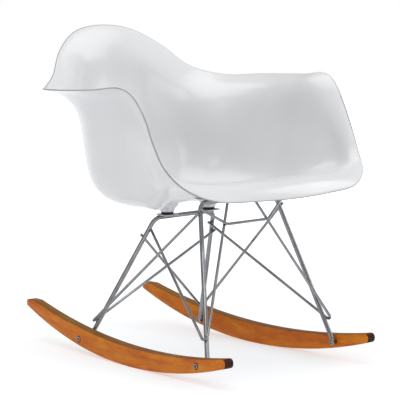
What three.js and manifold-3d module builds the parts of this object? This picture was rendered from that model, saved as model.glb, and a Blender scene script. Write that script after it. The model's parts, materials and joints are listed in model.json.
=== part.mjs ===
// A rocking chair: a moulded plastic bucket armchair on a base of bent steel wire with two
// wooden rockers. Millimetres, +Z up, the sitter looks along -Y, and +X is the sitter's left.
// The frame's origin is on the floor, under the middle of the chair.
import * as THREE from "three";
import { mergeVertices } from "three/addons/utils/BufferGeometryUtils.js";
import { ParametricGeometry } from "three/addons/geometries/ParametricGeometry.js";
import Module from "manifold-3d";

const wasm = await Module();
wasm.setup();

// ---- driving dimensions ---------------------------------------------------------------
const FIT = 0.35; // clearance between pieces that touch
const CUT_OVERRUN = 5; // how far a cutter runs past the face it opens
const ROUND_SIDES = 16; // facets round a turned piece

// Rockers
const ROCKER_LENGTH = 690;
const ROCKER_THICKNESS = 24;
const ROCKER_TOE = THREE.MathUtils.degToRad(2.85); // the pair spreads towards the front
const ROCKER_HALF_SPREAD = 194; // chair's middle plane to a rocker's outer face, half way along
const ROCKER_DEPTH = 41.5; // sole to crown where the rocker stands on the floor
const FRONT_DEPTH = 19.5; // sole to crown at the front tip
const REAR_DEPTH = 20.9; // sole to crown at the rear tip, before its top is cut flat
const TAIL_CUT = 7.6; // how much the flat on the rear tip takes off
const SOLE_LOW_Y = -28; // where the rocker touches the floor
const FACET_LENGTH = 43;
const CROWN_RADIUS = 1534;
const CROWN_LOW_Y = -66;
const REAR_TIP_RADIUS = 4;
const FRONT_TIP_RADIUS = 8;
const TIP_STEPS = 3; // facets in a tip's rounding
const ROCKER_EDGE = 1.6; // eased edge

// Bolted feet
const BOLT_RADIUS = 3.8;
const BOLT_HEAD_RADIUS = 5.6;
const BOLT_HEAD_HEIGHT = 5;
const BOLT_SOCKET_RADIUS = 3;
const BOLT_SOCKET_DEPTH = 3;
const WASHER_RADIUS = 6.8;
const WASHER_THICKNESS = 1.4;
const COUNTERBORE_DEPTH = 6;
const BARREL_RADIUS = 6.5;
const BARREL_LENGTH = 12;
const BOLT_STOP = 1; // how far the bolt's tip stays inside the barrel
const REAR_BOLT = { y: 148.5, z: 31 };
const FRONT_BOLT = { y: -253.5, z: 38 };

// Base wire
const LEG_RADIUS = 4.75;
const LEG_BEND = 20; // centre-line radius of a hoop's bends
const LEG_SIDES = 12;
const LEG_BEND_STEPS = 6;
const REAR_BAR = { halfWidth: 82, y: 19, z: 296.5 };
const FRONT_BAR = { halfWidth: 104, y: -149, z: 346.8 };
const BRACE_RADIUS = 2.9;
const BRACE_BEND = 8;
const BRACE_SIDES = 8;
const BRACE_BEND_STEPS = 7;
const BRACE_END = 5; // how far a brace runs past its weld
const WELD_GAP = 3 * FIT; // clearance between a hooked brace and its leg
// Where the braces meet the legs, as a share of the leg from foot to bend
const REAR_V = 0.12;
const FRONT_V = 0.143;
const SIDE_RISE_TO_FRONT = 0.925;
const SIDE_RISE_TO_REAR = 0.9;
const BACK_RISE = 0.835;
const CROSS_RISE = 0.95;
const FRONT_RISE_X = 34; // where a front brace reaches the front bar
const CROSS_HALF_WIDTH = 57;
const CROSS_Z = 300;
const CROSS_BEND = 9;
const CROSS_BEND_STEPS = 5;

// Seat mounts
const PLATE = { width: 40, depth: 34, thickness: 2.5, corner: 6 };
const MOUNT_REAR_X = 58;
const MOUNT_FRONT_X = 76;
const SCREW_SETBACK = 11; // bar's centre line to the screw
const GROMMET_RADIUS = 13;
const GROMMET_THICKNESS = 4;
const BOSS_BOTTOM_RADIUS = 15;
const BOSS_TOP_RADIUS = 25;
const BOSS_SIDES = 20;
const SCREW_RADIUS = 2.4;
const SCREW_HEAD_RADIUS = 4.8;
const SCREW_CROWN_RADIUS = 3.4; // flat on the head's underside
const SCREW_HEAD_HEIGHT = 3.4;
const SCREW_LENGTH = 17;
const INSERT_RADIUS = 4;
const INSERT_LENGTH = 9;

// Seat shell
const SHELL_THICKNESS = 4.8;
const SHELL_FLOOR = new THREE.Vector3(0, 62, 322); // lowest point of the dish
const SHELL_TURNS = 96; // facets round the rim
const SHELL_RINGS = 11; // facets from the dish to the rim
const RIM_ROUND = 0.985; // share of the way to the rim at which the edge starts to round off
const RIM_BREAK = 0.75; // share of that rounding at which it has a corner
const NORMAL_STEP = 0.004; // share of a turn, or of the way out, over which a normal is taken
const HALVINGS = 30; // steps in finding a point of the shell over a point on the plan
// Stations on the left half of the rim, from the top of the back to the seat's front edge:
// the rim's place, how far inside and below it the wall turns out into the lip, the slope
// of the wall and of the lip there in degrees, and how far the flat of the seat reaches.
const STATIONS = [
  { rim: [0, 305, 686], inset: 44, drop: 150, wall: 74, lip: 62, reach: 0.80 },
  { rim: [78, 295, 675], inset: 46, drop: 148, wall: 75, lip: 60, reach: 0.80 },
  { rim: [143, 265, 638], inset: 58, drop: 142, wall: 79, lip: 54, reach: 0.80 },
  { rim: [193, 224, 591], inset: 66, drop: 138, wall: 83, lip: 42, reach: 0.80 },
  { rim: [252, 174, 572], inset: 90, drop: 132, wall: 84, lip: 20, reach: 0.80 },
  { rim: [302, 112, 574], inset: 96, drop: 128, wall: 82, lip: 10, reach: 0.82 },
  { rim: [314, 33, 578], inset: 80, drop: 128, wall: 79, lip: 8, reach: 0.84 },
  { rim: [303, -45, 583], inset: 64, drop: 128, wall: 77, lip: 8, reach: 0.85 },
  { rim: [288, -106, 590], inset: 58, drop: 128, wall: 76, lip: 10, reach: 0.86 },
  { rim: [280, -145, 576], inset: 52, drop: 124, wall: 70, lip: 16, reach: 0.78 },
  { rim: [276, -179, 534], inset: 48, drop: 100, wall: 54, lip: 14, reach: 0.68 },
  { rim: [275, -206, 481], inset: 48, drop: 70, wall: 34, lip: 6, reach: 0.52 },
  { rim: [268, -233, 434], inset: 52, drop: 36, wall: 18, lip: -10, reach: 0.44 },
  { rim: [245, -270, 395], inset: 58, drop: -6, wall: 11, lip: -40, reach: 0.42 },
  { rim: [188, -300, 371], inset: 60, drop: -26, wall: 8, lip: -62, reach: 0.39 },
  { rim: [97, -316, 366], inset: 58, drop: -32, wall: 6, lip: -70, reach: 0.36 },
  { rim: [0, -321, 364], inset: 58, drop: -34, wall: 5, lip: -72, reach: 0.35 },
];
const FLOOR_TURN = 0.42; // how far down the wall the dish begins to turn up
const LIP_TURN = 0.5; // how much of the lip's length bends

const WHITE_PLASTIC = { color: 0xe4e6e8, roughness: 0.35, metalness: 0 };
const MAPLE = { color: 0xc07830, roughness: 0.45, metalness: 0 };
const CHROME = { color: 0xb9bcc0, roughness: 0.15, metalness: 1 };
const ZINC = { color: 0x9a9da2, roughness: 0.4, metalness: 1 };
const RUBBER = { color: 0x1c1c1e, roughness: 0.85, metalness: 0 };
const BRASS = { color: 0xb08d45, roughness: 0.35, metalness: 1 };

const UP = new THREE.Vector3(0, 0, 1);
const ACROSS = new THREE.Vector3(1, 0, 0);
const FORWARD = new THREE.Vector3(0, -1, 0);
const SIDES = { left: 1, right: -1 };
const chair = new THREE.Group();

// ---- solids -----------------------------------------------------------------------------
function solid(geometry) {
  const bare = geometry.clone();
  bare.deleteAttribute("normal");
  bare.deleteAttribute("uv");
  const merged = mergeVertices(bare, 1e-3);
  const index = merged.index.array;
  const faces = [];
  for (let i = 0; i < index.length; i += 3) {
    const [a, b, c] = [index[i], index[i + 1], index[i + 2]];
    if (a !== b && b !== c && c !== a) faces.push(a, b, c);
  }
  return new wasm.Manifold(
    new wasm.Mesh({
      numProp: 3,
      vertProperties: merged.attributes.position.array,
      triVerts: new Uint32Array(faces),
    }),
  );
}

function geometryOf(body) {
  const { vertProperties, triVerts } = body.getMesh();
  const geometry = new THREE.BufferGeometry();
  geometry.setAttribute("position", new THREE.BufferAttribute(vertProperties, 3));
  geometry.setIndex(new THREE.BufferAttribute(triVerts, 1));
  return geometry;
}

function addPiece(name, geometry, look, parent = chair) {
  const mesh = new THREE.Mesh(geometry, new THREE.MeshStandardMaterial(look));
  mesh.name = name;
  parent.add(mesh);
  return mesh;
}

/** A solid of revolution along +Z from an outline of [radius, height] corners. */
function turned(outline, sides = ROUND_SIDES) {
  const corners = outline.map(([radius, height]) => new THREE.Vector2(radius, height));
  return new THREE.LatheGeometry(corners, sides).rotateX(Math.PI / 2);
}

/** A ring or tube standing on z = bottom. */
function tube(inner, outer, bottom, top) {
  const outline = [[inner, bottom], [outer, bottom], [outer, top], [inner, top], [inner, bottom]];
  return turned(outline);
}

/** A rod standing on z = bottom. */
function rod(radius, bottom, top) {
  return turned([[0, bottom], [radius, bottom], [radius, top], [0, top]]);
}

// ---- bent wire --------------------------------------------------------------------------
/** Centre line of a bent wire: straight runs with a round bend at each inner corner. */
class WireLine extends THREE.Curve {
  constructor(corners, bendRadius, bendSteps) {
    super();
    this.stations = [];
    corners.forEach((corner, i) => {
      const before = corners[i - 1];
      const after = corners[i + 1];
      if (before && after) this.addBend(before, corner, after, bendRadius, bendSteps);
      else this.addEnd(corner, before ?? corner, after ?? corner);
    });
  }

  addEnd(corner, before, after) {
    const tangent = new THREE.Vector3().subVectors(after, before).normalize();
    this.stations.push({ point: corner.clone(), tangent });
  }

  addBend(before, corner, after, radius, steps) {
    const inward = new THREE.Vector3().subVectors(corner, before).normalize();
    const outward = new THREE.Vector3().subVectors(after, corner).normalize();
    const turn = inward.angleTo(outward);
    const setback = radius * Math.tan(turn / 2);
    const start = corner.clone().addScaledVector(inward, -setback);
    const axis = new THREE.Vector3().crossVectors(inward, outward).normalize();
    const toCentre = new THREE.Vector3().crossVectors(axis, inward);
    const centre = start.clone().addScaledVector(toCentre, radius);
    for (let step = 0; step <= steps; step++) {
      const angle = (turn * step) / steps;
      const arm = toCentre.clone().multiplyScalar(-radius).applyAxisAngle(axis, angle);
      const tangent = inward.clone().applyAxisAngle(axis, angle);
      this.stations.push({ point: centre.clone().add(arm), tangent });
    }
  }

  station(u) {
    return this.stations[Math.round(u * (this.stations.length - 1))];
  }

  getPointAt(u, target = new THREE.Vector3()) {
    return target.copy(this.station(u).point);
  }

  getTangentAt(u, target = new THREE.Vector3()) {
    return target.copy(this.station(u).tangent);
  }
}

function roundSection(radius, sides) {
  const corners = [];
  for (let i = 0; i < sides; i++) {
    const angle = (2 * Math.PI * i) / sides;
    corners.push(new THREE.Vector2(radius * Math.cos(angle), radius * Math.sin(angle)));
  }
  return new THREE.Shape(corners);
}

function wire(corners, radius, bendRadius, sides, bendSteps) {
  const line = new WireLine(corners, bendRadius, bendSteps);
  const steps = line.stations.length - 1;
  return new THREE.ExtrudeGeometry(roundSection(radius, sides), {
    steps,
    extrudePath: line,
    curveSegments: 1,
  });
}

// ---- layout of the base -----------------------------------------------------------------
/** Middle of a rocker's thickness at a distance along the chair. */
function rockerMiddleX(side, y) {
  return side * (ROCKER_HALF_SPREAD - ROCKER_THICKNESS / 2 - Math.tan(ROCKER_TOE) * y);
}

/** Where a leg's centre line ends, inside the barrel beside the rocker. */
function foot(side, bolt) {
  const standOff = ROCKER_THICKNESS / 2 + FIT + BARREL_LENGTH / 2;
  return new THREE.Vector3(rockerMiddleX(side, bolt.y) - side * standOff, bolt.y, bolt.z);
}

function bend(side, bar) {
  return new THREE.Vector3(side * bar.halfWidth, bar.y, bar.z);
}

const LEGS = {};
for (const [name, side] of Object.entries(SIDES)) {
  LEGS[name] = {
    rear: { low: foot(side, REAR_BOLT), high: bend(side, REAR_BAR) },
    front: { low: foot(side, FRONT_BOLT), high: bend(side, FRONT_BAR) },
  };
}

function onLeg(leg, share) {
  return leg.low.clone().lerp(leg.high, share);
}

function legDirection(leg) {
  return new THREE.Vector3().subVectors(leg.high, leg.low).normalize();
}

/** The point beside a rod where a wire heading along `run` touches it, on the `hint` side. */
function beside(point, rodDirection, run, hint, distance = LEG_RADIUS + BRACE_RADIUS + FIT) {
  const offset = new THREE.Vector3().crossVectors(rodDirection, run).normalize();
  if (offset.dot(hint) < 0) offset.negate();
  return point.clone().addScaledVector(offset, distance);
}

/** The wire's end, a little past the point where it touches. */
function pastWeld(from, touch) {
  const run = new THREE.Vector3().subVectors(touch, from).normalize();
  return touch.clone().addScaledVector(run, BRACE_END);
}

// ---- rockers ----------------------------------------------------------------------------
function circleHeight(radius, lowY, y) {
  return radius - Math.sqrt(radius ** 2 - (y - lowY) ** 2);
}

function crownHeight(y) {
  return ROCKER_DEPTH + circleHeight(CROWN_RADIUS, CROWN_LOW_Y, y);
}

/** Radius of the arc that rises from the floor to a tip of a given depth. */
function soleRadius(tipY, depth) {
  const run = tipY - SOLE_LOW_Y;
  const rise = crownHeight(tipY) - depth;
  return (run ** 2 + rise ** 2) / (2 * rise);
}

const SOLE_REAR_RADIUS = soleRadius(ROCKER_LENGTH / 2, REAR_DEPTH);
const SOLE_FRONT_RADIUS = soleRadius(-ROCKER_LENGTH / 2, FRONT_DEPTH);

function soleHeight(y) {
  return circleHeight(y > SOLE_LOW_Y ? SOLE_REAR_RADIUS : SOLE_FRONT_RADIUS, SOLE_LOW_Y, y);
}

/** Rounds off the corner between two directions with a few facets. */
function roundedCorner(corner, before, after, radius) {
  const inward = corner.clone().sub(before).normalize();
  const outward = after.clone().sub(corner).normalize();
  const turn = Math.atan2(inward.cross(outward), inward.dot(outward));
  const start = corner.clone().addScaledVector(inward, -radius * Math.tan(Math.abs(turn) / 2));
  const toCentre = new THREE.Vector2(-inward.y, inward.x).multiplyScalar(radius * Math.sign(turn));
  const centre = start.clone().add(toCentre);
  const points = [];
  for (let step = 0; step <= TIP_STEPS; step++) {
    points.push(start.clone().rotateAround(centre, (turn * step) / TIP_STEPS));
  }
  return points;
}

/** Corners of an arc of the outline from one distance along the chair to another. */
function arcCorners(heightAt, from, to) {
  const count = Math.max(1, Math.round(Math.abs(to - from) / FACET_LENGTH));
  const corners = [];
  for (let i = 0; i <= count; i++) {
    const y = from + ((to - from) * i) / count;
    corners.push(new THREE.Vector2(y, heightAt(y)));
  }
  return corners;
}

/** Side outline in (y, z). One sole facet lies flat on the floor. */
function rockerOutline() {
  const rear = ROCKER_LENGTH / 2;
  const front = -rear;
  const drop = soleHeight(SOLE_LOW_Y + FACET_LENGTH / 2);
  const soleAt = (y) => Math.max(0, soleHeight(y) - drop);
  const flatFront = SOLE_LOW_Y - FACET_LENGTH / 2;
  const flatRear = SOLE_LOW_Y + FACET_LENGTH / 2;
  const tailHeight = crownHeight(rear) - TAIL_CUT;
  const tailRise = tailHeight - ROCKER_DEPTH;
  const tailCut = CROWN_LOW_Y + Math.sqrt(CROWN_RADIUS ** 2 - (CROWN_RADIUS - tailRise) ** 2);
  const sole = [...arcCorners(soleAt, front, flatFront), ...arcCorners(soleAt, flatRear, rear)];
  const crown = arcCorners(crownHeight, tailCut, front);
  const tail = new THREE.Vector2(rear, tailHeight);
  return [
    ...roundedCorner(sole[0], crown.at(-1), sole[1], FRONT_TIP_RADIUS),
    ...sole.slice(1, -1),
    ...roundedCorner(sole.at(-1), sole.at(-2), tail, REAR_TIP_RADIUS),
    ...roundedCorner(tail, sole.at(-1), crown[0], REAR_TIP_RADIUS),
    ...crown.slice(0, -1),
    ...roundedCorner(crown.at(-1), crown.at(-2), sole[0], FRONT_TIP_RADIUS),
  ];
}

/** Rocker in its own frame: x across the thickness with 0 at the middle, y along. */
function rockerSolid(side) {
  const shape = new THREE.Shape(rockerOutline());
  const board = new THREE.ExtrudeGeometry(shape, {
    depth: ROCKER_THICKNESS - 2 * ROCKER_EDGE,
    bevelThickness: ROCKER_EDGE,
    bevelSize: ROCKER_EDGE,
    bevelOffset: -ROCKER_EDGE,
    bevelSegments: 1,
  });
  board.translate(0, 0, ROCKER_EDGE - ROCKER_THICKNESS / 2);
  board.rotateX(Math.PI / 2).rotateZ(Math.PI / 2);
  let body = solid(board);
  for (const bolt of [REAR_BOLT, FRONT_BOLT]) {
    body = body.subtract(boltHole(side, bolt));
  }
  return geometryOf(body);
}

/** Turns a solid that stands along +Z to lie across a rocker, outwards, at a bolt. */
function acrossRocker(geometry, side, bolt) {
  geometry.rotateY((side * Math.PI) / 2);
  return geometry.translate(0, bolt.y / Math.cos(ROCKER_TOE), bolt.z);
}

function boltHole(side, bolt) {
  const outerFace = ROCKER_THICKNESS / 2;
  const seat = outerFace - COUNTERBORE_DEPTH;
  const shaft = BOLT_RADIUS + FIT;
  const outline = [
    [0, -outerFace - CUT_OVERRUN],
    [shaft, -outerFace - CUT_OVERRUN],
    [shaft, seat],
    [WASHER_RADIUS + FIT, seat],
    [WASHER_RADIUS + FIT, outerFace + CUT_OVERRUN],
    [0, outerFace + CUT_OVERRUN],
  ];
  return solid(acrossRocker(turned(outline), side, bolt));
}

/** The turned frame of one rocker, which its bolts and barrels share. */
function rockerFrame(side) {
  const frame = new THREE.Group();
  frame.position.x = rockerMiddleX(side, 0);
  frame.rotation.z = side * ROCKER_TOE;
  chair.add(frame);
  return frame;
}

// ---- bolted feet ------------------------------------------------------------------------
function boltSolid() {
  const outerFace = ROCKER_THICKNESS / 2;
  const underHead = outerFace - COUNTERBORE_DEPTH + FIT + WASHER_THICKNESS + FIT;
  const top = underHead + BOLT_HEAD_HEIGHT;
  const tip = -outerFace - FIT - BARREL_LENGTH + BOLT_STOP;
  const outline = [
    [0, tip],
    [BOLT_RADIUS, tip],
    [BOLT_RADIUS, underHead],
    [BOLT_HEAD_RADIUS, underHead],
    [BOLT_HEAD_RADIUS, top],
    [0, top],
  ];
  const socket = new THREE.CylinderGeometry(
    BOLT_SOCKET_RADIUS, BOLT_SOCKET_RADIUS, BOLT_SOCKET_DEPTH + CUT_OVERRUN, 6,
  );
  socket.rotateX(Math.PI / 2);
  socket.translate(0, 0, top - BOLT_SOCKET_DEPTH + (BOLT_SOCKET_DEPTH + CUT_OVERRUN) / 2);
  return solid(turned(outline)).subtract(solid(socket));
}

function addFootHardware(where, side, bolt, frame) {
  const seat = ROCKER_THICKNESS / 2 - COUNTERBORE_DEPTH + FIT;
  const washer = tube(BOLT_RADIUS + FIT, WASHER_RADIUS, seat, seat + WASHER_THICKNESS);
  const innerFace = -ROCKER_THICKNESS / 2 - FIT;
  const barrel = tube(BOLT_RADIUS + FIT, BARREL_RADIUS, innerFace - BARREL_LENGTH, innerFace);
  addPiece(`rocker_bolt_${where}`, acrossRocker(geometryOf(boltSolid()), side, bolt), CHROME, frame);
  addPiece(`rocker_washer_${where}`, acrossRocker(washer, side, bolt), CHROME, frame);
  addPiece(`foot_barrel_${where}`, acrossRocker(barrel, side, bolt), CHROME, frame);
}

// ---- hoops: two legs and the bar between them, one bent rod ---------------------------------
/** Space that a barrel takes, with its clearance, in the chair's frame. */
function barrelRoom(side, bolt) {
  const middle = new THREE.Matrix4().makeRotationZ(side * ROCKER_TOE);
  middle.setPosition(rockerMiddleX(side, 0), 0, 0);
  const room = rod(
    BARREL_RADIUS + FIT,
    -ROCKER_THICKNESS / 2 - BARREL_LENGTH - CUT_OVERRUN,
    -ROCKER_THICKNESS / 2 + CUT_OVERRUN,
  );
  return solid(acrossRocker(room, side, bolt).applyMatrix4(middle));
}

function hoopSolid(bolt, bar) {
  const corners = [
    foot(SIDES.left, bolt), bend(SIDES.left, bar), bend(SIDES.right, bar), foot(SIDES.right, bolt),
  ];
  let body = solid(wire(corners, LEG_RADIUS, LEG_BEND, LEG_SIDES, LEG_BEND_STEPS));
  for (const side of Object.values(SIDES)) body = body.subtract(barrelRoom(side, bolt));
  const legs = body.decompose();
  const largest = legs.reduce((best, piece) => (piece.volume() > best.volume() ? piece : best));
  return geometryOf(largest);
}

// ---- braces: thin wires, each bent into a V round a leg and welded to its neighbours ----------
/** Which side of a leg a wire heading along `run` passes, on the far side from `other`. */
function passingSide(along, run, other) {
  const side = new THREE.Vector3().crossVectors(along, run).normalize();
  return side.dot(other) > 0 ? side.negate() : side;
}

/** A V of wire that hooks round a leg, with one end beside each target. */
function hookedV(leg, share, ends) {
  const apex = onLeg(leg, share);
  const along = legDirection(leg);
  const [first, second] = ends.map((end) => end.clone().sub(apex).normalize());
  const firstSide = passingSide(along, first, second);
  const secondSide = passingSide(along, second, first);
  const distance = LEG_RADIUS + BRACE_RADIUS + WELD_GAP;
  const offset = firstSide.clone().add(secondSide);
  offset.multiplyScalar(distance / (1 + firstSide.dot(secondSide)));
  const bisector = first.clone().add(second).normalize();
  const halfTurn = (Math.PI - first.angleTo(second)) / 2;
  const sharpness = BRACE_BEND * (1 / Math.cos(halfTurn) - 1);
  const corner = apex.clone().add(offset).addScaledVector(bisector, -sharpness);
  const path = [pastWeld(corner, ends[0]), corner, pastWeld(corner, ends[1])];
  return wire(path, BRACE_RADIUS, BRACE_BEND, BRACE_SIDES, BRACE_BEND_STEPS);
}

function rearBrace(name, side) {
  const own = LEGS[name];
  const other = LEGS[name === "left" ? "right" : "left"];
  const start = onLeg(own.rear, REAR_V);
  const frontTarget = onLeg(own.front, SIDE_RISE_TO_FRONT);
  const backTarget = onLeg(other.rear, BACK_RISE);
  const out = new THREE.Vector3(side, 0, 0);
  const backward = new THREE.Vector3(0, side, 0);
  const toFront = frontTarget.clone().sub(start);
  const toBack = backTarget.clone().sub(start);
  const ends = [
    beside(frontTarget, legDirection(own.front), toFront, out),
    beside(backTarget, legDirection(other.rear), toBack, backward),
  ];
  return hookedV(own.rear, REAR_V, ends);
}

/** Where a front brace touches the front bar, in front of it. */
function frontRiseEnd(name, side) {
  const onBar = new THREE.Vector3(side * FRONT_RISE_X, FRONT_BAR.y, FRONT_BAR.z);
  const run = onBar.clone().sub(onLeg(LEGS[name].front, FRONT_V));
  return beside(onBar, ACROSS, run, FORWARD);
}

function frontBrace(name, side) {
  const own = LEGS[name];
  const start = onLeg(own.front, FRONT_V);
  const rearTarget = onLeg(own.rear, SIDE_RISE_TO_REAR);
  const inward = new THREE.Vector3(-side, 0, 0);
  const toRear = rearTarget.clone().sub(start);
  const ends = [
    beside(rearTarget, legDirection(own.rear), toRear, inward),
    frontRiseEnd(name, side),
  ];
  return hookedV(own.front, FRONT_V, ends);
}

/** Where the cross brace touches a front brace, in front of it. */
function crossCorner(name, side) {
  const low = onLeg(LEGS[name].front, FRONT_V);
  const high = frontRiseEnd(name, side);
  const touch = low.clone().lerp(high, (CROSS_Z - low.z) / (high.z - low.z));
  const run = high.clone().sub(low);
  const corner = beside(touch, ACROSS, run, FORWARD, 2 * BRACE_RADIUS + 3 * WELD_GAP);
  return corner.setX(side * CROSS_HALF_WIDTH);
}

function crossBrace() {
  const corners = Object.entries(SIDES).map(([name, side]) => {
    const corner = crossCorner(name, side);
    const leg = LEGS[name].front;
    const target = onLeg(leg, CROSS_RISE);
    const run = target.clone().sub(corner);
    const touch = beside(target, legDirection(leg), run, FORWARD);
    return { corner, end: pastWeld(corner, touch) };
  });
  const [left, right] = corners;
  const path = [left.end, left.corner, right.corner, right.end];
  return wire(path, BRACE_RADIUS, CROSS_BEND, BRACE_SIDES, CROSS_BEND_STEPS);
}

// ---- seat shell -------------------------------------------------------------------------
/** Closed curve through one value of every station, mirrored onto the right half. */
function roundTheRim(valueOf) {
  const half = STATIONS.map(valueOf);
  const mirrored = half.slice(1, -1).reverse().map((p) => new THREE.Vector3(-p.x, p.y, p.z));
  return new THREE.CatmullRomCurve3([...half, ...mirrored], true, "catmullrom", 0.5);
}

function outwardOf(station) {
  const [x, y] = station.rim;
  return new THREE.Vector3(x - SHELL_FLOOR.x, y - SHELL_FLOOR.y, 0).normalize();
}

function slopeFrom(station, degrees) {
  const angle = THREE.MathUtils.degToRad(degrees);
  return outwardOf(station).multiplyScalar(Math.cos(angle)).addScaledVector(UP, Math.sin(angle));
}

const rimOf = (station) => new THREE.Vector3(...station.rim);
const wallTopOf = (station) =>
  rimOf(station).addScaledVector(outwardOf(station), -station.inset)
    .addScaledVector(UP, -station.drop);

function floorReachOf(station) {
  const run = wallTopOf(station).sub(SHELL_FLOOR).setZ(0);
  return SHELL_FLOOR.clone().addScaledVector(run, station.reach);
}

function wallFootOf(station) {
  const wallTop = wallTopOf(station);
  const length = wallTop.distanceTo(SHELL_FLOOR) * FLOOR_TURN;
  return wallTop.addScaledVector(slopeFrom(station, station.wall), -length);
}

function lipStartOf(station) {
  const length = wallTopOf(station).distanceTo(rimOf(station)) * LIP_TURN;
  return wallTopOf(station).addScaledVector(slopeFrom(station, station.wall), length);
}

function lipEndOf(station) {
  const length = wallTopOf(station).distanceTo(rimOf(station)) * LIP_TURN;
  return rimOf(station).addScaledVector(slopeFrom(station, station.lip), -length);
}

const SHELL_CURVES = [floorReachOf, wallFootOf, wallTopOf, lipStartOf, lipEndOf, rimOf]
  .map(roundTheRim);
const LIP_SHARE = 0.72; // share of the profile's parameter spent below the lip

function bezier(points, t) {
  const s = 1 - t;
  const weights = [s * s * s, 3 * s * s * t, 3 * s * t * t, t * t * t];
  const sum = new THREE.Vector3();
  points.forEach((point, i) => sum.addScaledVector(point, weights[i]));
  return sum;
}

/** Middle surface: `turn` runs once round the rim, `out` from the dish (0) to the rim (1). */
function shellMiddle(turn, out) {
  const wrapped = ((turn % 1) + 1) % 1;
  const [reach, foot, top, lipStart, lipEnd, rim] = SHELL_CURVES.map((c) => c.getPoint(wrapped));
  if (out <= LIP_SHARE) return bezier([SHELL_FLOOR, reach, foot, top], out / LIP_SHARE);
  return bezier([top, lipStart, lipEnd, rim], (out - LIP_SHARE) / (1 - LIP_SHARE));
}

/** Unit normal of the middle surface, towards the sitter. */
function shellNormal(turn, out) {
  const step = NORMAL_STEP;
  const safeOut = THREE.MathUtils.clamp(out, step, 1 - step);
  const along = shellMiddle(turn, safeOut + step).sub(shellMiddle(turn, safeOut - step));
  const around = shellMiddle(turn + step, safeOut).sub(shellMiddle(turn - step, safeOut));
  const normal = around.cross(along).normalize();
  return out === 0 ? UP.clone() : normal;
}

/** Half the thickness, rounded off to nothing at the rim. */
function halfThickness(out) {
  const past = Math.max(0, (out - RIM_ROUND) / (1 - RIM_ROUND));
  return (SHELL_THICKNESS / 2) * Math.sqrt(Math.max(0, 1 - past * past));
}

/** Shares of the way out at which the shell has a ring of corners. */
function shellRings() {
  const rings = [];
  for (let i = 0; i < SHELL_RINGS; i++) rings.push((RIM_ROUND * i) / (SHELL_RINGS - 1));
  rings.push(RIM_ROUND + RIM_BREAK * (1 - RIM_ROUND));
  return rings;
}

function shellSkin() {
  const inner = shellRings().map((out) => ({ out, face: 1 }));
  const outer = shellRings().map((out) => ({ out, face: -1 })).reverse();
  const rows = [...inner, { out: 1, face: 1 }, ...outer];
  const place = (u, v, target) => {
    const row = rows[Math.round(v * (rows.length - 1))];
    const middle = shellMiddle(u, row.out);
    const offset = shellNormal(u, row.out).multiplyScalar(row.face * halfThickness(row.out));
    target.copy(middle).add(offset);
  };
  return new ParametricGeometry(place, SHELL_TURNS, rows.length - 1);
}

function lastBelow(test) {
  let low = 0;
  let high = 1;
  for (let i = 0; i < HALVINGS; i++) {
    const middle = (low + high) / 2;
    if (test(middle)) low = middle;
    else high = middle;
  }
  return low;
}

/** Height of the middle surface over a point on the plan. */
function shellHeight(x, y) {
  const distance = Math.hypot(x - SHELL_FLOOR.x, y - SHELL_FLOOR.y);
  const bearing = Math.atan2(Math.abs(x - SHELL_FLOOR.x), y - SHELL_FLOOR.y);
  const bearingAt = (half) => {
    const rim = shellMiddle(half / 2, 1);
    return Math.atan2(rim.x - SHELL_FLOOR.x, rim.y - SHELL_FLOOR.y);
  };
  const turn = lastBelow((half) => bearingAt(half) < bearing) / 2;
  const reached = (out) => {
    const point = shellMiddle(turn, out * LIP_SHARE);
    return Math.hypot(point.x - SHELL_FLOOR.x, point.y - SHELL_FLOOR.y);
  };
  return shellMiddle(turn, lastBelow((out) => reached(out) < distance) * LIP_SHARE).z;
}

// ---- seat mounts ------------------------------------------------------------------------
const MOUNTS = [];
for (const [name, side] of Object.entries(SIDES)) {
  const rear = { x: side * MOUNT_REAR_X, y: REAR_BAR.y - SCREW_SETBACK, barY: REAR_BAR.y };
  const front = { x: side * MOUNT_FRONT_X, y: FRONT_BAR.y + SCREW_SETBACK, barY: FRONT_BAR.y };
  MOUNTS.push({ where: `rear_${name}`, ...rear, barTop: REAR_BAR.z + LEG_RADIUS });
  MOUNTS.push({ where: `front_${name}`, ...front, barTop: FRONT_BAR.z + LEG_RADIUS });
}

function mountLevels(mount) {
  const plate = mount.barTop + FIT;
  const grommet = plate + PLATE.thickness + FIT;
  const boss = grommet + GROMMET_THICKNESS + FIT;
  return { plate, grommet, boss };
}

/** A boss under the shell: a cone whose top follows the middle of the shell's thickness. */
function bossSolid(mount) {
  const { boss } = mountLevels(mount);
  const height = 1; // until its top is laid on the shell
  const cone = new THREE.CylinderGeometry(
    BOSS_TOP_RADIUS, BOSS_BOTTOM_RADIUS, height, BOSS_SIDES, 1,
  );
  cone.rotateX(Math.PI / 2).translate(mount.x, mount.y, boss + height / 2);
  const corners = cone.attributes.position;
  for (let i = 0; i < corners.count; i++) {
    const isTop = corners.getZ(i) > boss + height / 2;
    if (isTop) corners.setZ(i, shellHeight(corners.getX(i), corners.getY(i)));
  }
  return solid(cone);
}

function insertRoom(mount) {
  const { boss } = mountLevels(mount);
  const depth = INSERT_LENGTH + 3 * FIT;
  return solid(rod(INSERT_RADIUS + FIT, boss - CUT_OVERRUN, boss + depth)
    .translate(mount.x, mount.y, 0));
}

function shellSolid() {
  let body = solid(shellSkin());
  for (const mount of MOUNTS) body = body.add(bossSolid(mount));
  for (const mount of MOUNTS) body = body.subtract(insertRoom(mount));
  return geometryOf(body);
}

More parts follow.
